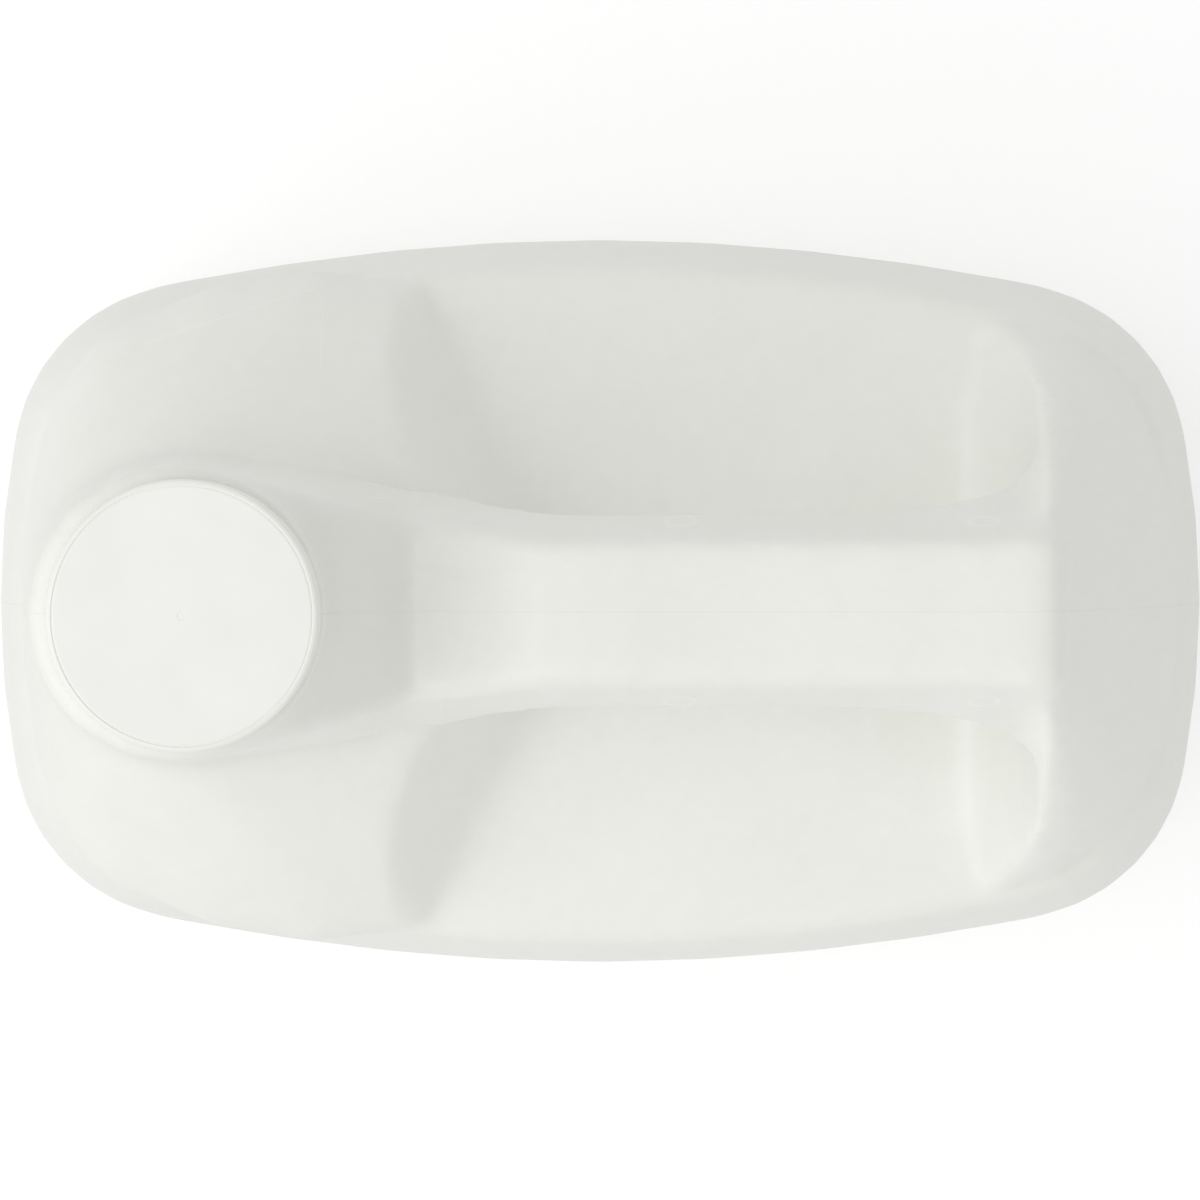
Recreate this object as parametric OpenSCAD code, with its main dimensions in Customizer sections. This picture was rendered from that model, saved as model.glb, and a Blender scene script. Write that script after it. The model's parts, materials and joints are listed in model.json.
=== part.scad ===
// Gallon jug for a disinfectant cleaner: one blow-moulded hollow shell with a neck tower at the
// left, a bar handle across a finger hole, a screw cap and the foam liner inside the cap.
// Millimetres, +Z up. The origin is the middle of the base and the mould parts at the plane Y = 0.

/* [Body] */
// Width of the body at its widest, along X
body_w = 197; // [188:1:206]
// Depth of the body at its widest, along Y
body_d = 120; // [115:1:128]
// Thickness of the moulded wall
wall = 1; // [0.8:0.1:1.4]
// Height of the edge where the walls end and the shoulders start
edge_z = 172; // [164:1:178]
// Rounding of that edge
edge_r = 3.5; // [2.5:0.5:6]
// Height of the middle of the top, under the handle
floor_z = 187; // [183:1:192]
// Radius of the bowed front and back walls, seen from above
side_r = 322; // [280:1:400]
// Radius of the bowed end walls, seen from above
end_r = 150; // [120:1:200]
// Radius of the upright corners
corner_r = 30; // [24:1:34]
// Height at which the walls start to lean in
lean_z = 100; // [85:1:115]
// How far the walls have leaned in at the edge
lean = 5.5; // [4.5:0.5:7]
// Radius of the rounding between the walls and the base
base_r = 9; // [6:0.5:12]
// Height of the pushed-up middle of the base
push_up = 3; // [2:0.5:5]
// Width of the flat ring that the jug stands on
stand_w = 6; // [4:0.5:9]

/* [Label panels] */
// Depth of the bare recess for a label, at the front and the back
panel_depth = 0.6; // [0.4:0.1:1]
// Distance of a panel's ends from the upright corners
panel_margin = 4; // [3:0.5:14]
// Height of a panel's lower edge
panel_z = 26; // [20:1:40]
// Distance of a panel's upper edge below the shoulder edge
panel_drop = 12; // [9:1:24]

/* [Left shoulder] */
// Height of the shoulder's crown, round the foot of the neck tower
shoulder_z = 208; // [204:0.5:211]
// How far the shoulders and the hip stand in from the body's edge
shoulder_in = 0.8; // [0.6:0.1:1.6]
// How far the outer end of the wall beside the finger hole lies to the left of the middle
wall_out_x = 27; // [24:0.5:30]
// How far the inner end of that wall's foot lies to the left of the middle
wall_foot_x = 9; // [7:0.5:11]
// Slope of that wall, from level
wall_slope = 61; // [56:1:66]
// Slope of the same wall under the handle, from level
hole_slope = 66; // [62:1:72]

/* [Neck tower] */
// How far the neck's axis lies to the left of the middle
neck_x = 62.6; // [61:0.1:64]
// Height of the ledge that the neck stands on
ledge_z = 283; // [276:0.5:288]
// Radius of the ledge
ledge_r = 22.6; // [22:0.1:23.4]
// How far the ledge's middle lies to the left of the neck's axis
ledge_out = 1.5; // [0.5:0.1:1.8]
// How much wider the tower is at its foot, on each side
tower_flare = 2.4; // [1.4:0.2:3.4]

/* [Neck] */
// Outside diameter of the neck at the root of its thread
neck_d = 34.9; // [34.2:0.1:35.2]
// Diameter of the mouth
mouth_d = 30.8; // [29:0.1:31.4]
// Height of the neck above the ledge
neck_h = 18.6; // [16:0.1:22]
// Diameter of the bead below the thread
bead_d = 37; // [36.4:0.1:37.2]
// Height of the bead below the thread
bead_h = 2; // [1.4:0.1:2.4]
// Height of the bead's underside above the ledge
bead_z = 0.8; // [0.6:0.1:1.2]

/* [Handle] */
// Width of the handle
handle_w = 29.9; // [28:0.1:32]
// Width of the handle across its upper edges
handle_top_w = 23.4; // [22:0.2:25]
// Height of the handle's highest point
handle_z = 262; // [259:0.5:265]
// How much lower the handle's top is at its right end
handle_fall = 6; // [4:0.5:8]
// Thickness of the handle, from top to underside
handle_t = 26; // [22:0.5:27]
// Radius of the handle's upper edges
handle_r = 2.6; // [2:0.2:4]
// Radius of the handle's lower edges
under_r = 8; // [7:0.5:10]
// Height of the valley between the neck tower and the handle
valley_z = 251; // [248:0.5:254]
// How far the valley lies to the left of the middle
valley_x = 29.5; // [28.5:0.5:31]
// Half the width of the spine across its upper edges at the valley
spine_w = 14; // [13:0.2:16]
// How much further out the spine's sides stand there
spine_bevel = 4.6; // [3:0.2:5.4]
// How much the handle widens into the hip at its right end
root_flare = 11; // [8:0.5:12]

/* [Hip] */
// How far the crest of the hip lies to the right of the middle
hip_x = 69; // [67:0.5:70]
// How much less that is at the outer ends of the crest
hip_swing = 7; // [4:0.5:9]
// Half the depth of the hip at its top
hip_top_w = 14; // [12.5:0.5:16]
// Half the depth of the hip at the body's edge
hip_foot_w = 46; // [43:0.5:48]
// Outward bow of the crest between foot and top
crest_bow = 3.5; // [2:0.5:5]
// Height of the hip's top
hip_z = 250.5; // [248:0.5:251.5]
// How far the hip's wall runs out to the left as it meets the top of the body
hip_r = 9; // [7:0.5:11]
// Outward bow of the hip's right side between foot and top
bow = 1.6; // [0.8:0.1:2.4]

/* [Cap] */
// Outside diameter of the cap
cap_d = 41; // [40.8:0.1:41.8]
// Thickness of the cap's top
cap_top_t = 1.8; // [1.4:0.1:2.4]
// Thickness of the cap's skirt
cap_wall = 1.5; // [1.3:0.1:1.6]
// Gap between the cap's skirt and the ledge
cap_gap = 1; // [0.6:0.1:1.6]
// Radius of the rounded edge round the cap's top
cap_edge_r = 0.9; // [0.5:0.1:1.2]
// Height of the plain band below that edge
rim_band = 1.2; // [0.8:0.1:2]
// How far the crests of the grip ribs stand in from the band
rib_set = 0.1; // [0.05:0.05:0.2]
// Depth of the grip ribs round the cap
rib_depth = 0.35; // [0.2:0.05:0.5]
// Number of grip ribs
rib_count = 72; // [48:4:96]

/* [Liner] */
// Thickness of the foam liner
liner_t = 1.2; // [0.8:0.1:1.6]
// Gap between the liner's rim and the cap's skirt
liner_gap = 0.25; // [0.15:0.05:0.4]

/* [Hidden] */
$fn = 96;
overlap = 4;
slant = 1.3;

rim_z = ledge_z + neck_h;
under_z = rim_z + liner_t;
cap_z = under_z + cap_top_t;
skirt_r = cap_d / 2 - cap_wall;

half = [body_w, body_d] / 2;
end_c = [half.x - end_r, 0];
side_c = [0, half.y - side_r];

// The corner arc touches the end arc and the side arc from inside.
corner_ends = [end_r - corner_r, side_r - corner_r];
apart = norm(side_c - end_c);
toward = (side_c - end_c) / apart;
along = (pow(corner_ends.x, 2) - pow(corner_ends.y, 2) + apart * apart) / (2 * apart);
off = sqrt(pow(corner_ends.x, 2) - along * along);
corner_c = end_c + along * toward + off * [-toward.y, toward.x];
turn_end = atan2(corner_c.y - end_c.y, corner_c.x - end_c.x);
turn_side = atan2(corner_c.y - side_c.y, corner_c.x - side_c.x);
corner_x = side_r * cos(turn_side);
panel_half = corner_x - panel_margin;

function mix(a, b, t) = a + (b - a) * t;
function arc(centre, r, from, to, steps) = [
    for (i = [0:steps - 1])
        let (t = mix(from, to, i / steps))
        centre + r * [cos(t), sin(t)]
];
function on_side(x) = [x, side_c.y + sqrt(side_r * side_r - x * x)];

// A quarter of the plan outline as fractions of the half width and half depth, from the +X axis to
// just before the +Y axis.
function quarter(steps) = [
    for (p = concat(
        arc(end_c, end_r, 0, turn_end, steps[0]),
        arc(corner_c, corner_r, turn_end, turn_side, steps[1]),
        [on_side(corner_x)],
        [for (i = [0:steps[2] - 1]) on_side(panel_half * (1 - i / steps[2]))]
    )) [p.x / half.x, p.y / half.y]
];

// Pulls a point of the outline towards an ellipse: 0 leaves it and 1 puts it on the ellipse.
function rounder(p, t) = p * mix(1, 1 / norm(p), t);

// A closed level outline, its left and right halves with their own lengths and roundness.
function ring(q, z, middle, left, right, depth, t_left, t_right) =
    let (n = len(q), l = [for (p = q) rounder(p, t_left)], r = [for (p = q) rounder(p, t_right)])
    concat(
        [for (i = [0:n - 1]) [middle + right * r[i].x, depth * r[i].y, z]],
        [[middle, depth, z]],
        [for (i = [n - 1:-1:0]) [middle - left * l[i].x, depth * l[i].y, z]],
        [for (i = [1:n - 1]) [middle - left * l[i].x, -depth * l[i].y, z]],
        [[middle, -depth, z]],
        [for (i = [n - 1:-1:1]) [middle + right * r[i].x, -depth * r[i].y, z]]
    );

// A grid drawn in along its own normals, so that every wall keeps its thickness.
function drawn_in(g, by) =
    let (m = len(g), n = len(g[0]))
    [for (k = [0:m - 1]) [for (i = [0:n - 1])
        let (c = cross(
            g[k][(i + 1) % n] - g[k][(i + n - 1) % n],
            g[min(k + 1, m - 1)][i] - g[max(k - 1, 0)][i]
        ))
        g[k][i] - by * c / norm(c)]];

// A closed solid through a stack of rings.
module loft(g, inset = 0) {
    s = inset > 0 ? drawn_in(g, inset) : g;
    n = len(s[0]);
    m = len(s);
    polyhedron(
        points = [for (r = s) each r],
        faces = concat(
            [[for (i = [0:n - 1]) i]],
            [for (k = [0:m - 2], i = [0:n - 1])
                let (a = k * n + i, b = k * n + (i + 1) % n)
                each [[a, a + n, b + n], [a, b + n, b]]],
            [[for (i = [n - 1:-1:0]) (m - 1) * n + i]]
        ),
        convexity = 8
    );
}

// How far the walls have leaned in at a height.
function lean_at(z) = z < lean_z ? 0 : lean * pow((z - lean_z) / (edge_z - lean_z), 2);
function in_panel(p) =
    abs(p.x) < panel_half && p.z > panel_z + 0.5 && p.z < edge_z - panel_drop - 0.5;
function panel_at(p) = panel_depth * (1 - pow(p.x / panel_half, 4));

function body_grid(fine) =
    let (
        q = quarter(fine ? [2, 6, 4] : [2, 4, 2]),
        round_steps = fine ? 4 : 3,
        top_in = lean + edge_r * (1 - cos(72)),
        top_z = edge_z - edge_r * (1 - sin(72)),
        panel_top = edge_z - panel_drop,
        foot_in = base_r + stand_w,
        wall_levels = [panel_z, panel_z + 1, lean_z, mix(lean_z, panel_top, 0.35),
            mix(lean_z, panel_top, 0.7), panel_top - 1, panel_top],
        // Each level is [height, how far the outline is drawn in].
        levels = concat(
            [[push_up, foot_in + 26], [push_up * 0.75, foot_in + 12], [push_up * 0.2, foot_in + 3],
                [0, foot_in]],
            [for (i = [0:round_steps])
                let (t = 90 * i / round_steps)
                [base_r * (1 - cos(t)), base_r * (1 - sin(t))]],
            [for (z = wall_levels) [z, lean_at(z)]],
            [for (i = [0:round_steps - 1])
                let (t = 72 * i / (round_steps - 1))
                [edge_z - edge_r * (1 - sin(t)), lean + edge_r * (1 - cos(t))]],
            [for (u = fine ? [0.2, 0.42, 0.64, 0.86] : [0.3, 0.6, 0.86])
                [top_z + (floor_z - top_z) * (1 - pow(1 - u, 1.6)),
                    top_in + u * (half.y - top_in)]]
        )
    )
    [for (l = levels)
        let (
            // The pushed-up middle and the top shrink in proportion, the walls by an equal step.
            k = l[0] > edge_z ? (half.y - l[1]) / (half.y - top_in) : 1,
            d = k < 1 ? [k * (half.x - top_in), half.y - l[1]] : half - [l[1], l[1]]
        )
        [for (p = ring(q, l[0], 0, d.x, d.x, d.y, 0, 0))
            in_panel(p) ? p - [0, sign(p.y) * panel_at(p), 0] : p]];

// The neck tower grows out of the left shoulder and carries the round ledge. The lower rings run on
// to the right, where the flat walls beside the finger hole end them.
function tower_grid(fine) =
    let (
        q = quarter(fine ? [2, 4, 2] : [1, 3, 2]),
        ledge_x = -neck_x - ledge_out,
        foot_left = half.x - lean - shoulder_in,
        foot_depth = half.y - lean - shoulder_in,
        foot_r = ledge_r + tower_flare,
        crown_z = ledge_z - 1,
        tower_right = ledge_x + ledge_r
    )
    concat(
        [ring(q, edge_z - 10, -45, foot_left - 47, 45, foot_depth - 2, 0.4, 0.3)],
        [for (s = [0, 0.15, 0.32, 0.5, 0.66, 0.8, 0.9, 0.96])
            let (
                middle = mix(-45, ledge_x, s * s),
                right = mix(0, tower_right + 6, pow(s, 12))
            )
            ring(q, mix(edge_z, shoulder_z, s), middle, mix(foot_left, foot_left - 1.4, s) + middle,
                right - middle, mix(foot_r, foot_depth, pow(1 - pow(s, 1.3), 0.85)),
                mix(0.4, 1, s), mix(0.3, 0.9, s * s))],
        [for (s = [0, 0.05, 0.12, 0.25, 0.5, 1])
            let (
                r = ledge_r + tower_flare * pow(1 - s, 3) * 0.75 + tower_flare * (1 - s) * 0.25,
                left = mix(foot_left - 1.5, ledge_r - ledge_x, s)
            )
            ring(q, mix(shoulder_z, crown_z, s), ledge_x, left + ledge_x,
                mix(tower_right + 3 * pow(1 - s, 4), tower_right, s) - ledge_x, r, 1, 1)],
        [for (e = [[0.3, 0.3], [0.9, 0], [5, 0]])
            ring(q, ledge_z - e[1], ledge_x, ledge_r - e[0], ledge_r - e[0], ledge_r - e[0], 1, 1)]
    );

// The room left of the flat walls beside the finger hole. One wall lies under the handle and faces
// right, the other two run from there to the front and back edges.
module left_of_walls() {
    tip = [-wall_out_x, half.y - lean - 7, edge_z + 2.5];
    foot = [-wall_foot_x, handle_w / 2, floor_z - 1.5];
    line = foot - tip;
    side = [-line.y, line.x, 0] / norm([line.x, line.y]);
    upward = [-side.x * cos(wall_slope), -side.y * cos(wall_slope), sin(wall_slope)];
    across = cross(upward, line) / norm(cross(upward, line));
    n = across.z > 0 ? across : -across;
    d = n * foot;
    // Place along X of the wall under the handle, and of the front wall.
    m = [sin(hole_slope), cos(hole_slope)];
    e = m * [-wall_foot_x, floor_z];
    function hole_x(z) = (e - m[1] * z) / m[0];
    function wall_x(y, z) = (d - n.y * y - n.z * z) / n.x;
    function meet_y(z) = (d - n.x * hole_x(z) - n.z * z) / n.y;
    peak = (d - n.x * e / m[0]) / (n.z - n.x * m[1] / m[0]);
    y = body_d / 2 + 5;
    left = 1.5 * body_w;
    right = 10;
    low = edge_z - 14;
    high = shoulder_z + 4;
    top = ledge_z + 5;
    polyhedron(
        points = [
            [wall_x(y, low), y, low], [hole_x(low), meet_y(low), low], [hole_x(low), -meet_y(low), low],
            [wall_x(y, low), -y, low], [-left, -y, low], [-left, y, low],
            [hole_x(peak), 0, peak], [wall_x(0, high), 0, high],
            [wall_x(y, high), y, high], [wall_x(y, high), -y, high], [-left, -y, top], [-left, y, top],
            [right, y, high], [right, -y, high], [right, y, top], [right, -y, top]
        ],
        faces = [
            [2, 1, 0, 5, 4, 3], [14, 15, 10, 11], [13, 15, 14, 12], [5, 11, 10, 4], [2, 6, 1],
            [1, 6, 7], [1, 7, 8], [1, 8, 0], [3, 9, 7], [3, 7, 6], [3, 6, 2],
            [7, 9, 13], [7, 13, 12], [7, 12, 8],
            [8, 12, 14], [8, 14, 11], [8, 11, 5], [8, 5, 0],
            [9, 3, 4], [9, 4, 10], [9, 10, 15], [9, 15, 13]
        ],
        convexity = 4
    );
}

// The hip is the shoulder at the right end, with a curved wall towards the finger hole.
function hip_grid(fine, inset) =
    let (
        q = quarter(fine ? [2, 4, 2] : [1, 3, 2]),
        foot_right = half.x - lean - shoulder_in,
        wall_x = hip_x - 1.2,
        top = hip_z - inset
    )
    concat(
        [ring(q, edge_z - 10, hip_x - hip_swing, hip_r - hip_swing - inset,
            foot_right - hip_x + hip_swing - 2 - inset, hip_foot_w - 2 - inset, 1, 0.7)],
        [for (s = [0, 0.06, 0.12, 0.18, 0.25, 0.34, 0.46, 0.6, 0.78, 1])
            let (
                z = mix(edge_z, top - 1, s),
                middle = hip_x - hip_swing * pow(max(1 - s / 0.5, 0), 1.5),
                near = pow(min(max((floor_z + 34 - z) / 42, 0), 1), 2.5),
                out = 4 * bow * s * (1 - s)
            )
            ring(q, z, middle, max(middle - wall_x + hip_r * near, 1.8) - inset,
                mix(foot_right, hip_x + 2.6, s) + out - middle - inset,
                mix(hip_foot_w, hip_top_w, s) + 4 * crest_bow * s * (1 - s) - inset, 1, mix(0.7, 0.9, s))],
        [ring(q, top, hip_x, 1.4 - 0.6 * inset, 2 - 0.6 * inset, hip_top_w - 1.5 - inset, 1, 0.9)]
    );

// A section of the spine and handle: half widths across the upper edges and at the widest, top,
// underside, and the radii of the upper and the lower edges.
function section(x, w_top, w, top, low, r, r_low, steps) =
    let (side = concat(
        [for (i = [0:steps])
            let (t = mix(-80, 0, i / steps))
            [w - r_low, low + r_low] + r_low * [cos(t), sin(t)]],
        [for (i = [0:steps])
            let (t = mix(8, 90, i / steps))
            [w_top - r, top - r] + r * [cos(t), sin(t)]]
    ))
    concat(
        [for (p = side) [x, p.x, p.y]],
        [for (i = [len(side) - 1:-1:0]) [x, -side[i].x, side[i].y]]
    );

// How much further a slope moves up or down than along its normal.
function slant_at(run, i, column) =
    let (a = run[max(i - 1, 0)], b = run[min(i + 1, len(run) - 1)])
    norm([1, (b[column] - a[column]) / (b.x - a.x)]);

function handle_grid(fine, inset) =
    let (
        w = handle_w / 2,
        t = handle_top_w / 2,
        side_w = spine_w + spine_bevel,
        under = handle_z - handle_t,
        end_z = handle_z - handle_fall,
        end_low = end_z - handle_t,
        // Each entry is [place along X, half width across the top, half width, top, underside].
        run = [
            [-neck_x + 2, ledge_r - 1, ledge_r + 0.2, ledge_z - 1.6, floor_z + 8],
            [-neck_x + 9, mix(spine_w, ledge_r, 0.78), ledge_r + 0.2, ledge_z - 2.6, floor_z + 10],
            [-neck_x + 16, mix(spine_w, ledge_r, 0.56), ledge_r - 0.6, mix(valley_z, ledge_z, 0.8), floor_z + 12],
            [-valley_x - 11, mix(spine_w, ledge_r, 0.36), mix(side_w, ledge_r, 0.6), mix(valley_z, ledge_z, 0.58),
                floor_z + 14],
            [-valley_x - 5.5, mix(spine_w, ledge_r, 0.18), mix(side_w, ledge_r, 0.3), mix(valley_z, ledge_z, 0.3),
                floor_z + 17],
            [-valley_x - 2, mix(spine_w, ledge_r, 0.06), mix(side_w, ledge_r, 0.1), mix(valley_z, ledge_z, 0.1),
                floor_z + 19],
            [-valley_x + 0.6, spine_w, side_w, valley_z + 0.2, floor_z + 21],
            [-valley_x + 5, mix(t, spine_w, 0.86), mix(w, side_w, 0.88), mix(valley_z, handle_z, 0.2), floor_z + 25],
            [-valley_x + 10, mix(t, spine_w, 0.55), mix(w, side_w, 0.6), mix(valley_z, handle_z, 0.5), floor_z + 31],
            [-valley_x + 15, mix(t, spine_w, 0.25), mix(w, side_w, 0.3), mix(valley_z, handle_z, 0.8), under - 9],
            [-valley_x + 20, mix(t, spine_w, 0.06), mix(w, side_w, 0.1), mix(valley_z, handle_z, 0.96), under - 4],
            [-valley_x + 26, t, w, handle_z, under - 1],
            [4, t, w, handle_z - 0.1, under],
            [hip_x - 26, t, w + 0.03 * root_flare, handle_end(0.6), mix(under, end_low, 0.6)],
            [hip_x - 16, t, w + 0.13 * root_flare, handle_end(0.78), end_low - 0.5],
            [hip_x - 10, t, w + 0.26 * root_flare, handle_end(0.86), end_low - 2],
            [hip_x - 6, t, w + 0.4 * root_flare, handle_end(0.92), end_low - 8],
            [hip_x - 3, t + 0.3, w + 0.6 * root_flare, handle_end(0.97), end_low - 14],
            [hip_x + 1, t + 0.5, w + 0.9 * root_flare, end_z - 1, end_low - 20],
            [hip_x + 3, t, w + 0.5 * root_flare, end_z - 5, end_low - 22]
        ]
    )
    [for (i = [0:len(run) - 1])
        let (s = run[i], end = i == 0 ? inset : i == len(run) - 1 ? -inset : 0)
        section(s[0] + end, s[1] - inset, s[2] - inset, s[3] - inset * slant_at(run, i, 3),
            s[4] + inset * slant_at(run, i, 4), handle_r - inset, under_r - inset, fine ? 3 : 2)];
function handle_end(t) = handle_z - handle_fall * t;

// The outer shape of the whole shell, or with an inset the hollow inside it.
module shape(inset = 0, fine = true) {
    loft(body_grid(fine), inset);
    intersection() {
        loft(tower_grid(fine), inset);
        // The walls slope, so the hollow's move left by a little more than the thickness.
        translate([-inset * slant, 0, 0])
            left_of_walls();
    }
    loft(hip_grid(fine, inset));
    loft(handle_grid(fine, inset));
}

module jug() {
    color([0.93, 0.935, 0.91])
    difference() {
        union() {
            shape();
            translate([-neck_x, 0, ledge_z - overlap / 2])
                cylinder(d = neck_d, h = neck_h + overlap / 2);
            translate([-neck_x, 0, ledge_z + bead_z])
                cylinder(d = bead_d, h = bead_h);
        }
        shape(wall, false);
        translate([-neck_x, 0, ledge_z - overlap])
            cylinder(d = mouth_d, h = neck_h + 2 * overlap);
    }
}

// The skirt's outline, with shallow ribs all round it.
function ribbed(r, depth, count, per) = [
    for (i = [0:count * per - 1])
        let (t = 360 * i / (count * per), rib = r - depth * (0.5 - 0.5 * cos(360 * i / per)))
        rib * [cos(t), sin(t)]
];

module cap() {
    band_z = cap_z - cap_edge_r - rim_band;
    color([0.95, 0.95, 0.93])
    translate([-neck_x, 0, 0])
    difference() {
        union() {
            translate([0, 0, ledge_z + cap_gap])
                linear_extrude(band_z + 0.4 - ledge_z - cap_gap)
                    polygon(ribbed(cap_d / 2 - rib_set, rib_depth, rib_count, 4));
            translate([0, 0, band_z])
                rotate_extrude()
                    polygon(concat(
                        [[0, 0], [cap_d / 2, 0]],
                        arc([cap_d / 2 - cap_edge_r, rim_band], cap_edge_r, 0, 90, 5),
                        [[cap_d / 2 - cap_edge_r, rim_band + cap_edge_r], [0, rim_band + cap_edge_r]]
                    ));
        }
        translate([0, 0, ledge_z])
            cylinder(r = skirt_r, h = under_z - ledge_z);
    }
}

module liner() {
    color([0.97, 0.97, 0.96])
    translate([-neck_x, 0, rim_z])
        cylinder(r = skirt_r - liner_gap, h = liner_t);
}

jug();
cap();
liner();
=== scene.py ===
# %% [markdown]
# A white one-gallon cleaner jug, seen from straight above. The solids and the joints come from the
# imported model, and this script gives them their looks: the soft edges of a blown shell, its parting
# line, the screw thread, the ribbed cap and the foam liner.

# %% Load the frame
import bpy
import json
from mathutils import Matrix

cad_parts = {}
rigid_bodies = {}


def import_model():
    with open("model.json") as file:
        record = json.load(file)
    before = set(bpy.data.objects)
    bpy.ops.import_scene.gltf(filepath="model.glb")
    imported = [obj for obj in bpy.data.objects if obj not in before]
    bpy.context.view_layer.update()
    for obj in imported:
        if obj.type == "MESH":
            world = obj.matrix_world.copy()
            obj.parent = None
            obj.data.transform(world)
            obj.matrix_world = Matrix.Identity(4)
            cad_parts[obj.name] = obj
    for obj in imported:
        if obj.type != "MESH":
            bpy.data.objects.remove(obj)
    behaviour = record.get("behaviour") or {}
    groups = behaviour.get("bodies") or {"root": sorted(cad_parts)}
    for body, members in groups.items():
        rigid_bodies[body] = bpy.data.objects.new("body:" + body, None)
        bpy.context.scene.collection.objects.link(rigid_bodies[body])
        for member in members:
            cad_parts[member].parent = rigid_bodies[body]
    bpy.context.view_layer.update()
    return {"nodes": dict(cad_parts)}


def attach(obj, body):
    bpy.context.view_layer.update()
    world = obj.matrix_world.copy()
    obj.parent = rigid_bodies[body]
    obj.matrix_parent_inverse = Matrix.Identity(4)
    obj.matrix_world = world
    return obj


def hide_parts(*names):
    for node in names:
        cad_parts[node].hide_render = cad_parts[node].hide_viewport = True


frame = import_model()

import json
import math
import bmesh
import bpy
from mathutils import Vector

# %% [markdown]
# These sizes repeat the ones that the solids were made with, in metres. The neck's axis is the line
# that the thread, the cap and the liner all share, so its place is named once, and so is the ledge
# that the neck stands on.

# %% Sizes shared with the solids
MM = 0.001
NECK_X = -62.6 * MM
LEDGE_Z = 283 * MM
print("The neck's axis is at x =", NECK_X, "and its ledge at z =", LEDGE_Z)

# %% [markdown]
# Small helpers. An operator acts on whatever is selected, so each step starts from a clean selection,
# and each finished piece ends with its object at the origin and its place in its mesh.

# %% Selection and finishing helpers
def only(piece):
    bpy.ops.object.select_all(action="DESELECT")
    piece.select_set(True)
    bpy.context.view_layer.objects.active = piece


def edit(piece, mode="VERT"):
    only(piece)
    bpy.ops.object.mode_set(mode="EDIT")
    bpy.ops.mesh.select_mode(type=mode)
    bpy.ops.mesh.select_all(action="DESELECT")
    return bmesh.from_edit_mesh(piece.data)


def done():
    bpy.ops.object.mode_set(mode="OBJECT")


def pick(mesh, wanted):
    for item in wanted:
        item.select_set(True)
    mesh.select_flush(True)


def face_outwards():
    bpy.ops.mesh.select_all(action="SELECT")
    bpy.ops.mesh.normals_make_consistent(inside=False)


def apply(piece, kind, **settings):
    only(piece)
    step = piece.modifiers.new(kind.title(), kind)
    for name, value in settings.items():
        setattr(step, name, value)
    bpy.ops.object.modifier_apply(modifier=step.name)


def smooth(piece, degrees):
    only(piece)
    bpy.ops.object.shade_smooth_by_angle(angle=math.radians(degrees))


def join(parts, whole):
    only(whole)
    for part in parts:
        part.select_set(True)
    bpy.ops.object.join()


def finish(piece, name, paint, body):
    piece.name = piece.data.name = name
    piece.data.materials.clear()
    piece.data.materials.append(paint)
    only(piece)
    bpy.ops.object.transform_apply(location=True, rotation=True, scale=True)
    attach(piece, body)
    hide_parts(body)
    print(name, "has", len(piece.data.polygons), "faces")


# %% [markdown]
# The camera. The photograph looks down from about 2.3 m through a long lens, a little to the back of
# the jug, so the front and back walls show as thin bands and the cap looks larger than its size.

# %% Camera
EYE = Vector((0, 25.7 * MM, 2300 * MM))
AIM = Vector((0, 0, 100 * MM))

camera_data = bpy.data.cameras.new("camera")
camera_data.lens = 400
camera_data.sensor_width = 36
camera_data.clip_start = 0.1
camera_data.clip_end = 20
camera = bpy.data.objects.new("camera", camera_data)
bpy.context.scene.collection.objects.link(camera)
camera.location = EYE
camera.rotation_euler = (-math.atan2(EYE.y - AIM.y, EYE.z - AIM.z), 0, 0)
bpy.context.scene.camera = camera
print("The camera looks down from", round(EYE.z, 3), "m")

# %% [markdown]
# Shader sums are easier to read as sums. A Wire is a socket, and Python's operators on it add Math
# nodes. Every other node comes from its one method, node, which takes the node's settings and inputs.

# %% Shader wires
class Wire:
    def __init__(self, tree, socket=None):
        self.tree = tree
        self.socket = socket

    def node(self, kind, inputs=(), out=0, **settings):
        made = self.tree.nodes.new(kind)
        for name, value in settings.items():
            if name == "stops":
                ramp = made.color_ramp.elements
                while len(ramp) < len(value):
                    ramp.new(1.0)
                for stop, (place, shade) in zip(ramp, value):
                    stop.position = place
                    stop.color = shade
            else:
                setattr(made, name, value)
        for key, value in dict(inputs).items():
            if isinstance(value, Wire):
                self.tree.links.new(value.socket, made.inputs[key])
            else:
                made.inputs[key].default_value = value
        return Wire(self.tree, made.outputs[out])

    def math(self, operation, *values):
        return self.node("ShaderNodeMath", dict(enumerate(values)), operation=operation)

    def __add__(self, other):
        return self.math("ADD", self, other)

    def __radd__(self, other):
        return self.math("ADD", other, self)

    def __sub__(self, other):
        return self.math("SUBTRACT", self, other)

    def __rsub__(self, other):
        return self.math("SUBTRACT", other, self)

    def __mul__(self, other):
        return self.math("MULTIPLY", self, other)

    def __rmul__(self, other):
        return self.math("MULTIPLY", other, self)

    def __truediv__(self, other):
        return self.math("DIVIDE", self, other)

    def __rtruediv__(self, other):
        return self.math("DIVIDE", other, self)

    def __abs__(self):
        return self.math("ABSOLUTE", self)


# %% Start and close a material
def start(name):
    material = bpy.data.materials.new(name)
    material.use_nodes = True
    material.node_tree.nodes.clear()
    return material, Wire(material.node_tree)


def close(material, shader):
    out = material.node_tree.nodes.new("ShaderNodeOutputMaterial")
    material.node_tree.links.new(shader.socket, out.inputs["Surface"])
    print("material:", material.name)
    return material


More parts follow.
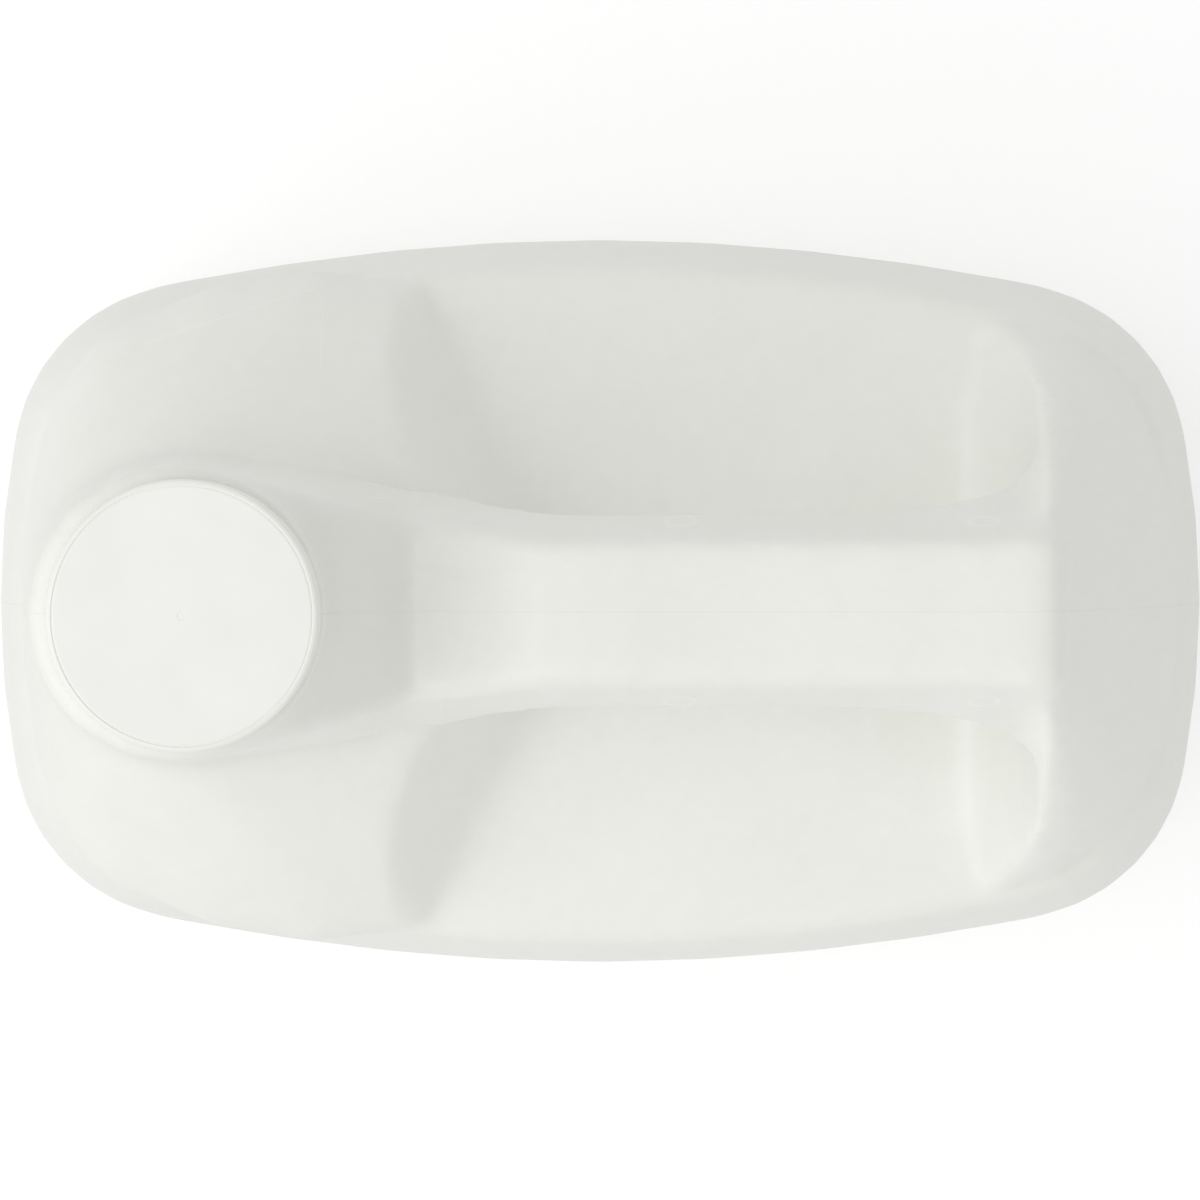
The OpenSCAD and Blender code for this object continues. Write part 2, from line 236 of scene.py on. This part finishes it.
# %% Places, noise, colours and bumps
def place_on(wire):
    return wire.node("ShaderNodeTexCoord", out="Object")


def axes(spot):
    apart = spot.node("ShaderNodeSeparateXYZ", {0: spot})
    return [Wire(spot.tree, out) for out in apart.socket.node.outputs]


def noise(spot, scale, detail=2.0, stretch=(1, 1, 1)):
    moved = spot.node("ShaderNodeMapping", {"Vector": spot, "Scale": stretch})
    return moved.node("ShaderNodeTexNoise", {"Vector": moved, "Scale": scale, "Detail": detail})


def shades(amount, dark, pale):
    return amount.node("ShaderNodeValToRGB", {0: amount}, stops=((0.3, dark), (0.7, pale)))


def tint(colour, amount, other):
    return colour.node("ShaderNodeMix", {0: amount, 6: colour, 7: other}, out=2, data_type="RGBA")


def bumps(height, strength, depth):
    return height.node("ShaderNodeBump", {"Height": height, "Strength": strength, "Distance": depth})


# %% Lines and masks
def line(distance, width):
    return distance.math("MAXIMUM", 1 - abs(distance) / width, 0)


def between(value, low, high):
    return value.math("GREATER_THAN", value, low) * value.math("LESS_THAN", value, high)


def length(a, b):
    return a.math("SQRT", a * a + b * b)


# %% [markdown]
# Marks of the mould. Its inserts leave hairlines on the jug: a corner at the edge of the handle's
# insert, four oval vents, and a rounded corner on the left shoulder. They are too fine to model, at a
# tenth or two of a millimetre, so each one is a line drawn by its distance. It raises a bump, and it is
# also painted paler along its length as a painted highlight where light catches the fine edge.

# %% Edge of the handle's insert
HAIR = 0.16 * MM
INSERT_X = -24 * MM
INSERT_Y = 17.4 * MM
MARKS_FOOT = 228 * MM


def insert_edge(x, y, z):
    across = line(x - INSERT_X, HAIR) * between(abs(y), 12.4 * MM, 18 * MM)
    along = line(y - INSERT_Y, HAIR) * between(x, INSERT_X - 12 * MM, INSERT_X)
    return (across + along) * between(z, MARKS_FOOT, 300 * MM)


# %% Vents
VENTS_X = (12.4 * MM, 59.2 * MM)
VENT_Y = 13.9 * MM
VENT_HALF_LENGTH = 2.3 * MM
VENT_HALF_WIDTH = 0.75 * MM
VENT_LINE = 0.28


def vents(x, y, z):
    side = (abs(y) - VENT_Y) / VENT_HALF_WIDTH
    left, right = [line(length((x - place) / VENT_HALF_LENGTH, side) - 1, VENT_LINE) for place in VENTS_X]
    return (left + right) * between(z, MARKS_FOOT, 258 * MM)


# %% Corner on the left shoulder
CORNER_R = 3 * MM
CORNER_X = -43.9 * MM
CORNER_Y = 48.8 * MM
CORNER_SLOPE = 0.32


def shoulder_corner(x, y, z):
    u = x - CORNER_X + CORNER_R
    v = y - CORNER_Y - (x + 50.6 * MM) * CORNER_SLOPE + CORNER_R
    outside = length(u.math("MAXIMUM", u, 0), v.math("MAXIMUM", v, 0))
    inside = u.math("MINIMUM", u.math("MAXIMUM", u, v), 0)
    near = between(x, -72 * MM, -40 * MM) * between(y, 38 * MM, 56 * MM)
    return line(outside + inside - CORNER_R, 0.2 * MM) * near * between(z, 176 * MM, 214 * MM)


# %% [markdown]
# Blown polyethylene. The soft tube of plastic is drawn down from a round die, which leaves faint
# upright streaks in the walls, and the two mould halves leave a fine raised line where they meet, all
# round the jug on the plane between front and back. The skin is satin, with a slight mottle. Noise
# squashed along Z gives the streaks, and plain noise the mottle.

# %% Jug plastic
def jug_plastic():
    material, wire = start("blown polyethylene")
    spot = place_on(wire)
    x, y, z = axes(spot)
    streaks = noise(spot, 420, stretch=(1, 1, 0.02))
    mottle = noise(spot, 55, 3.0)
    grain = noise(spot, 1500)
    parting = line(y, 0.2 * MM)
    hairlines_and_highlight = insert_edge(x, y, z) + vents(x, y, z) * 0.8 + shoulder_corner(x, y, z) * 0.7
    plain = shades(mottle * 0.5 + streaks * 0.5, (0.855, 0.862, 0.812, 1), (0.882, 0.888, 0.842, 1))
    parted = tint(plain, parting * 0.16, (0.72, 0.725, 0.68, 1))
    # The hairlines are tinted paler than the plastic: a painted highlight along each fine edge, on top of
    # their real bump.
    painted_highlights = tint(parted, hairlines_and_highlight * 0.5, (0.96, 0.96, 0.93, 1))
    height = streaks * 0.3 + grain * 0.12 + mottle * 0.3 + parting * 0.35 + hairlines_and_highlight * 0.8
    shader = wire.node("ShaderNodeBsdfPrincipled", {
        "Base Color": painted_highlights,
        "Roughness": mottle * 0.12 + 0.36,
        "Normal": bumps(height, 0.35, 0.2 * MM),
        "IOR": 1.5})
    return close(material, shader)


blown = jug_plastic()

# %% [markdown]
# Moulded polypropylene. The cap is injected into a polished steel mould, so its skin is evener than
# the jug's and a touch whiter. It needs no streaks: a fine grain keeps it from looking like glass.

# %% Cap plastic
def cap_plastic():
    material, wire = start("moulded polypropylene")
    spot = place_on(wire)
    mottle = noise(spot, 90)
    grain = noise(spot, 2600)
    shader = wire.node("ShaderNodeBsdfPrincipled", {
        "Base Color": shades(mottle, (0.870, 0.874, 0.835, 1), (0.895, 0.898, 0.862, 1)),
        "Roughness": mottle * 0.1 + 0.38,
        "Normal": bumps(grain, 0.12, 0.1 * MM),
        "IOR": 1.49})
    return close(material, shader)


moulded = cap_plastic()

# %% [markdown]
# Liner foam. The disc is cut from a foamed sheet whose closed cells are about half a millimetre
# across. Voronoi cells give their small domes, which would be far too many to model.

# %% Foam
def foam():
    material, wire = start("liner foam")
    spot = place_on(wire)
    cells = spot.node("ShaderNodeTexVoronoi", {"Vector": spot, "Scale": 2200})
    mottle = noise(spot, 300)
    shader = wire.node("ShaderNodeBsdfPrincipled", {
        "Base Color": shades(mottle, (0.88, 0.88, 0.86, 1), (0.93, 0.93, 0.915, 1)),
        "Roughness": 0.6,
        "Normal": bumps(cells, 0.3, 0.1 * MM)})
    return close(material, shader)


foamed = foam()

# %% [markdown]
# The shell. The solid jug has the right form, but a blown jug has no sharp edge anywhere: the plastic
# only reaches into a corner as far as air pushes it. A bevel can't follow so many blended forms, so
# the outer skin of a copy is closed at the neck, rebuilt as an even net of small faces, and smoothed
# until its edges are a few millimetres round.

# %% Copy of the solid jug
def copy_of(node):
    only(frame["nodes"][node])
    bpy.ops.object.duplicate()
    copy = bpy.context.object
    for key in list(copy.keys()):
        del copy[key]
    copy.parent = None
    return copy


shell = copy_of("jug")
print("The copy has", len(shell.data.polygons), "faces")

# %% Outer skin of the shell
def keep_outer_skin(piece, top):
    edit(piece)
    bpy.ops.mesh.select_all(action="SELECT")
    bpy.ops.mesh.remove_doubles(threshold=0.000002)
    bpy.ops.mesh.select_all(action="SELECT")
    bpy.ops.mesh.bisect(plane_co=(0, 0, top), plane_no=(0, 0, 1), clear_outer=True)
    bpy.ops.mesh.select_all(action="DESELECT")
    mesh = bmesh.from_edit_mesh(piece.data)
    lowest = min(mesh.verts, key=lambda v: v.co.z)
    lowest.select_set(True)
    bpy.ops.mesh.select_linked(delimit=set())
    bpy.ops.mesh.select_all(action="INVERT")
    bpy.ops.mesh.delete(type="VERT")
    mesh = bmesh.from_edit_mesh(piece.data)
    pick(mesh, [e for e in mesh.edges if e.is_boundary])
    bpy.ops.mesh.edge_face_add()
    done()


keep_outer_skin(shell, LEDGE_Z + 0.4 * MM)
print("Its outer skin has", len(shell.data.polygons), "faces")

# %% [markdown]
# Two places of the jug are softer than the rest: the corners where the valleys' floor meets its
# walls, and the left shoulder. A vertex group says how soft each point is, from 0 to 1, and fades
# towards the rest of the jug.

# %% How soft each point is
FLOOR_STARTS = (174, 178)
FLOOR_ENDS = (190, 198)
FLOOR_SIDE = (-34, -28)
SHOULDER_STARTS = (176, 184)
SHOULDER_ENDS = (216, 226)
SHOULDER_SIDE = (-42, -34)


def ease(value, low, high):
    t = min(max((value - low) / (high - low), 0), 1)
    return t * t * (3 - 2 * t)


def softness(spot):
    x, z = spot.x / MM, spot.z / MM
    floor = ease(z, *FLOOR_STARTS) * (1 - ease(z, *FLOOR_ENDS)) * ease(x, *FLOOR_SIDE)
    shoulder = ease(z, *SHOULDER_STARTS) * (1 - ease(z, *SHOULDER_ENDS)) * (1 - ease(x, *SHOULDER_SIDE))
    return max(floor, shoulder)


def soften(piece, name, weight, rounds):
    group = piece.vertex_groups.new(name=name)
    for v in piece.data.vertices:
        amount = weight(v.co)
        if amount > 0:
            group.add([v.index], amount, "REPLACE")
    apply(piece, "SMOOTH", factor=0.5, iterations=rounds, vertex_group=name)


# %% Even net and soft edges
NET = 1.2 * MM
EDGE_ROUNDS = 9
CORNER_ROUNDS = 50
KEPT_SHARE = 0.28

apply(shell, "REMESH", mode="VOXEL", voxel_size=NET)
apply(shell, "SMOOTH", factor=0.5, iterations=EDGE_ROUNDS)
soften(shell, "corners", softness, CORNER_ROUNDS)
apply(shell, "DECIMATE", ratio=KEPT_SHARE)
print("The soft skin has", len(shell.data.polygons), "faces")

# %% [markdown]
# The wall. The skin's lid comes off where the neck will stand, and Solidify gives the skin the wall of
# a blown jug on its inner side, so the outer form stays as it is.

# %% Mouth hole and wall
WALL = 1.0 * MM
HOLE_R = 16.6 * MM
HOLE_DEPTH = 2 * MM

mesh = edit(shell, "FACE")
for face in mesh.faces:
    spot = face.calc_center_median()
    near = math.hypot(spot.x - NECK_X, spot.y) < HOLE_R
    if near and spot.z > LEDGE_Z - HOLE_DEPTH:
        face.select_set(True)
bpy.ops.mesh.delete(type="FACE")
done()
apply(shell, "SOLIDIFY", thickness=WALL, offset=-1)
print("With its wall the shell has", len(shell.data.polygons), "faces")

# %% [markdown]
# The neck. It is moulded with the shell, so it is joined to it. Its profile is drawn once and spun
# round the axis: a bead at the foot, a plain wall for the thread and a rounded lip. A cylinder would
# need as many loops cut into it as the profile has points.

# %% Outlines on the neck's axis
def blank(name):
    bpy.ops.object.select_all(action="DESELECT")
    bpy.ops.mesh.primitive_plane_add(size=MM, location=(NECK_X, 0, 0))
    piece = bpy.context.object
    piece.name = name
    edit(piece)
    bpy.ops.mesh.select_all(action="SELECT")
    bpy.ops.mesh.delete(type="VERT")
    return piece


def draw(piece, outline, closed=False):
    mesh = bmesh.from_edit_mesh(piece.data)
    points = [mesh.verts.new((r * MM, 0, z * MM)) for r, z in outline]
    for a, b in zip(points, points[1:]):
        mesh.edges.new((a, b))
    if closed:
        mesh.edges.new((points[-1], points[0]))
    pick(mesh, list(mesh.verts))
    pick(mesh, list(mesh.edges))
    bmesh.update_edit_mesh(piece.data)


def spun(name, outline, steps):
    piece = blank(name)
    draw(piece, outline)
    bpy.ops.mesh.spin(steps=steps, angle=math.tau, center=(NECK_X, 0, 0), axis=(0, 0, 1))
    bpy.ops.mesh.select_all(action="SELECT")
    bpy.ops.mesh.remove_doubles(threshold=0.000004)
    face_outwards()
    done()
    smooth(piece, 40)
    print(name, "has", len(piece.data.polygons), "faces")
    return piece


# %% Neck finish
# The radii and heights of an outline are in millimetres.
MOUTH_R = 15.4
NECK_R = 17.45
BEAD_R = 18.5
FOOT_Z = 281.2
LIP_Z = 301.6

neck = spun("neck", (
    (MOUTH_R, FOOT_Z), (17.0, 281.6), (NECK_R, 282.4), (NECK_R, 283.9), (18.1, 284.1),
    (BEAD_R, 284.6), (BEAD_R, 285.3), (18.1, 285.8), (NECK_R, 286.0), (NECK_R, 300.9),
    (17.3, 301.35), (16.9, LIP_Z), (15.9, LIP_Z), (15.55, 301.4), (MOUTH_R, 301.0),
    (MOUTH_R, 292), (MOUTH_R, FOOT_Z)), 128)

# %% [markdown]
# The thread. A blunt ridge climbs the neck by 4.233 mm a turn, six turns to the inch, and fades in and
# out at its ends. It runs round 1.6 times on the neck and 1.3 times in the cap. The Screw modifier
# sweeps the ridge's section, which is sunk a little into the wall so that its root shows no gap.

# %% Swept ridge
LEAD = 4.2333 * MM
STEPS_PER_TURN = 96
FADE = 0.09
SUNK = 0.25
UNDER_SKIN = 0.05 * MM


def sweep(piece, turns):
    steps = int(STEPS_PER_TURN * turns)
    apply(piece, "SCREW", axis="Z", angle=math.tau * turns, screw_offset=LEAD * turns, steps=steps,
        render_steps=steps, use_merge_vertices=False)
    return steps


def fade_ends(piece, points, steps, root, side):
    for v in piece.data.vertices:
        r = math.hypot(v.co.x, v.co.y)
        along = (v.index // points) / steps
        full = ease(min(along, 1 - along), 0, FADE)
        if side * (r - root) > 0:
            wanted = root + (r - root) * full - side * UNDER_SKIN * (1 - full)
            v.co.x *= wanted / r
            v.co.y *= wanted / r


def close_ends(piece):
    mesh = edit(piece)
    pick(mesh, [e for e in mesh.edges if e.is_boundary])
    bpy.ops.mesh.edge_face_add()
    face_outwards()
    done()


def thread(name, root, depth, foot_z, turns, width, side=1):
    sunk = root - side * SUNK
    flank = root + side * depth * 0.8
    crest = root + side * depth
    section = ((sunk, -0.5), (root, -0.5), (flank, -0.2), (crest, 0), (flank, 0.2), (root, 0.5),
        (sunk, 0.5))
    piece = blank(name)
    draw(piece, [(r, foot_z + w * width) for r, w in section], closed=True)
    done()
    steps = sweep(piece, turns)
    fade_ends(piece, len(section), steps, root * MM, side)
    close_ends(piece)
    smooth(piece, 50)
    print(name, "has", len(piece.data.polygons), "faces")
    return piece


# %% Thread on the neck
neck_thread = thread("neck_thread", NECK_R, 1.15, 288.6, 1.6, 2.0)

# %% Join the neck to the shell
smooth(shell, 60)
join((neck, neck_thread), shell)
finish(shell, "jug_shell", blown, "jug")

# %% [markdown]
# The cap. Seen from above it is a plain disc with a rounded edge, a thin groove just inside the edge
# and a tiny gate mark in the middle. Its skirt has fine ribs for grip. A ring is extruded up the skirt,
# over the edge and in to the middle, and then from the foot up the inside, so the cap is one closed
# skin. Each entry below is the rise from the ring before it and the new ring's radius, in millimetres.

# %% Rings of the cap
RIBS = 72
POINTS_PER_RIB = 6
CAP_FOOT = LEDGE_Z + 1.02 * MM
FOOT_R = 20.1
SKIRT = (
    (0.10, 20.3), (0.2, 20.38), (0.5, 20.40), (4.5, 20.40), (4.5, 20.40), (4.5, 20.40), (2.8, 20.40),
    (0.35, 20.40), (0.25, 20.45))
BAND = ((0.05, 20.48), (2.0, 20.48))
ROUND_EDGE = ((0.42, 20.38), (0.22, 20.2), (0.11, 19.95), (0.05, 19.75))
GROOVE = ((-0.1, 19.66), (-0.08, 19.6), (0, 19.52), (0.08, 19.46), (0.07, 19.36), (0.01, 19.2))
TOP = ((0, 14), (0, 8), (0, 2.4), (0, 0.7))
GATE_MARK = ((-0.08, 0.6), (0, 0.45), (0.08, 0.35))
BORE = (
    (0, 19.6), (0, 19.1), (0.6, 18.95), (4, 18.95), (5, 18.95), (5, 18.95), (3.0, 18.95),
    (0.35, 18.95))
LINER_BEAD = ((0.3, 18.7), (0.3, 18.95), (0.25, 18.95))
CEILING = ((0, 14), (0, 6), (0, 1))


# %% Cap body
def raise_ring(piece, rise, radius):
    bpy.ops.mesh.extrude_edges_move(TRANSFORM_OT_translate={"value": (0, 0, rise * MM)})
    mesh = bmesh.from_edit_mesh(piece.data)
    for v in mesh.verts:
        if v.select:
            out = Vector((v.co.x, v.co.y, 0)).normalized()
            v.co = out * radius * MM + Vector((0, 0, v.co.z))
    bmesh.update_edit_mesh(piece.data)


def raise_rings(piece, rings):
    for rise, radius in rings:
        raise_ring(piece, rise, radius)
    bpy.ops.mesh.merge(type="CENTER")


def cap_body():
    bpy.ops.object.select_all(action="DESELECT")
    bpy.ops.mesh.primitive_circle_add(vertices=RIBS * POINTS_PER_RIB, radius=FOOT_R * MM,
        fill_type="NOTHING", location=(NECK_X, 0, CAP_FOOT))
    piece = bpy.context.object
    edit(piece)
    bpy.ops.mesh.select_all(action="SELECT")
    raise_rings(piece, SKIRT + BAND + ROUND_EDGE + GROOVE + TOP + GATE_MARK)
    mesh = bmesh.from_edit_mesh(piece.data)
    bpy.ops.mesh.select_all(action="DESELECT")
    foot = min(v.co.z for v in mesh.verts)
    pick(mesh, [v for v in mesh.verts if v.co.z < foot + 0.01 * MM])
    raise_rings(piece, BORE + LINER_BEAD + CEILING)
    done()
    return piece


cap = cap_body()
print("The plain cap has", len(cap.data.polygons), "faces")

# %% [markdown]
# The ribs. There are 72 of them, a third of a millimetre deep, and modelling each as a solid would
# leave seams. The skirt already has six upright lines to a rib, so they are pressed in as a wave that
# fades out at the foot and below the top band.

# %% Ribs on the skirt
RIB_DEPTH = 0.36 * MM
RIB_FADE = 0.4 * MM
RIB_FOOT = LEDGE_Z + 1.7 * MM
RIB_TOP = LEDGE_Z + 18.3 * MM
OUTER_SKIN_R = 20.0 * MM


def press_ribs(piece):
    for v in piece.data.vertices:
        r = math.hypot(v.co.x, v.co.y)
        if r > OUTER_SKIN_R and RIB_FOOT < v.co.z < RIB_TOP:
            turn = math.atan2(v.co.y, v.co.x) / math.tau * RIBS
            full = min((v.co.z - RIB_FOOT) / RIB_FADE, (RIB_TOP - v.co.z) / RIB_FADE, 1)
            depth = RIB_DEPTH * (0.5 - 0.5 * math.cos(math.tau * turn)) * max(full, 0)
            v.co.x *= (r - depth) / r
            v.co.y *= (r - depth) / r


press_ribs(cap)
print("Ribs pressed in:", RIBS)

# %% Thread in the cap and finish
cap_thread = thread("cap_thread", 18.98, 1.05, 290.3, 1.3, 1.9, side=-1)
edit(cap)
face_outwards()
done()
smooth(cap, 35)
join((cap_thread,), cap)
finish(cap, "screw_cap", moulded, "cap")

# %% [markdown]
# The liner. A foam disc lies in the top of the cap and seals the mouth. It is hidden, so its plain
# outline with soft edges is spun round the same axis as the neck, and a cylinder with bevels would do
# no better.

# %% Foam liner
LINER_FOOT = 301.62
LINER_TOP = 302.79

liner = spun("liner_disc", (
    (0.2, LINER_FOOT), (15.0, LINER_FOOT), (15.5, 301.61), (17.5, 301.61), (18.0, LINER_FOOT),
    (18.5, 301.65), (18.7, 301.8), (18.74, 302.1), (18.74, 302.4), (18.65, 302.7),
    (18.4, LINER_TOP), (0.2, LINER_TOP), (0.2, LINER_FOOT)), 96)
finish(liner, "foam_liner", foamed, "liner")

# %% [markdown]
# The stage. The floor is white to the camera and keeps the jug's soft shadow: rays from the camera see
# a dim paint with a glow, and all the others see plain pale paint, so the glow never lights the jug.

# %% Floor
GLOW = 0.56

bpy.ops.object.select_all(action="DESELECT")
bpy.ops.mesh.primitive_plane_add(size=6, location=(0, 0, 0))
floor = bpy.context.object
floor.name = "floor"
floor_paint, wire = start("white floor")
seen = wire.node("ShaderNodeLightPath", out="Is Camera Ray")
paint = wire.node("ShaderNodeBsdfDiffuse", {"Color": (0.9, 0.9, 0.9, 1)})
faint = wire.node("ShaderNodeBsdfDiffuse", {"Color": (0.5, 0.5, 0.5, 1)})
glow = wire.node("ShaderNodeEmission", {"Color": (1, 1, 1, 1), "Strength": GLOW})
bright = wire.node("ShaderNodeAddShader", {0: faint, 1: glow})
mixed = wire.node("ShaderNodeMixShader", {0: seen, 1: paint, 2: bright})
floor.data.materials.append(close(floor_paint, mixed))

# %% [markdown]
# The light. The photograph's shading is that of a bright overcast sky with one large soft lamp from
# the front left, so a plain white world and one wide sun lamp are enough.

# %% Sky and lamp
SKY = 0.66
LAMP = 1.2
LAMP_WIDTH = 70
LAMP_WAY = Vector((0.58, 0.2, -0.85))

world = bpy.data.worlds.new("sky")
bpy.context.scene.world = world
world.use_nodes = True
world.node_tree.nodes["Background"].inputs["Color"].default_value = (1, 1, 1, 1)
world.node_tree.nodes["Background"].inputs["Strength"].default_value = SKY

lamp_data = bpy.data.lights.new("soft lamp", "SUN")
lamp_data.energy = LAMP
lamp_data.angle = math.radians(LAMP_WIDTH)
lamp = bpy.data.objects.new("soft lamp", lamp_data)
bpy.context.scene.collection.objects.link(lamp)
lamp.rotation_euler = LAMP_WAY.to_track_quat("-Z", "Y").to_euler()
bpy.context.scene.view_settings.view_transform = "Standard"
print("Sky", SKY, "and lamp", LAMP)
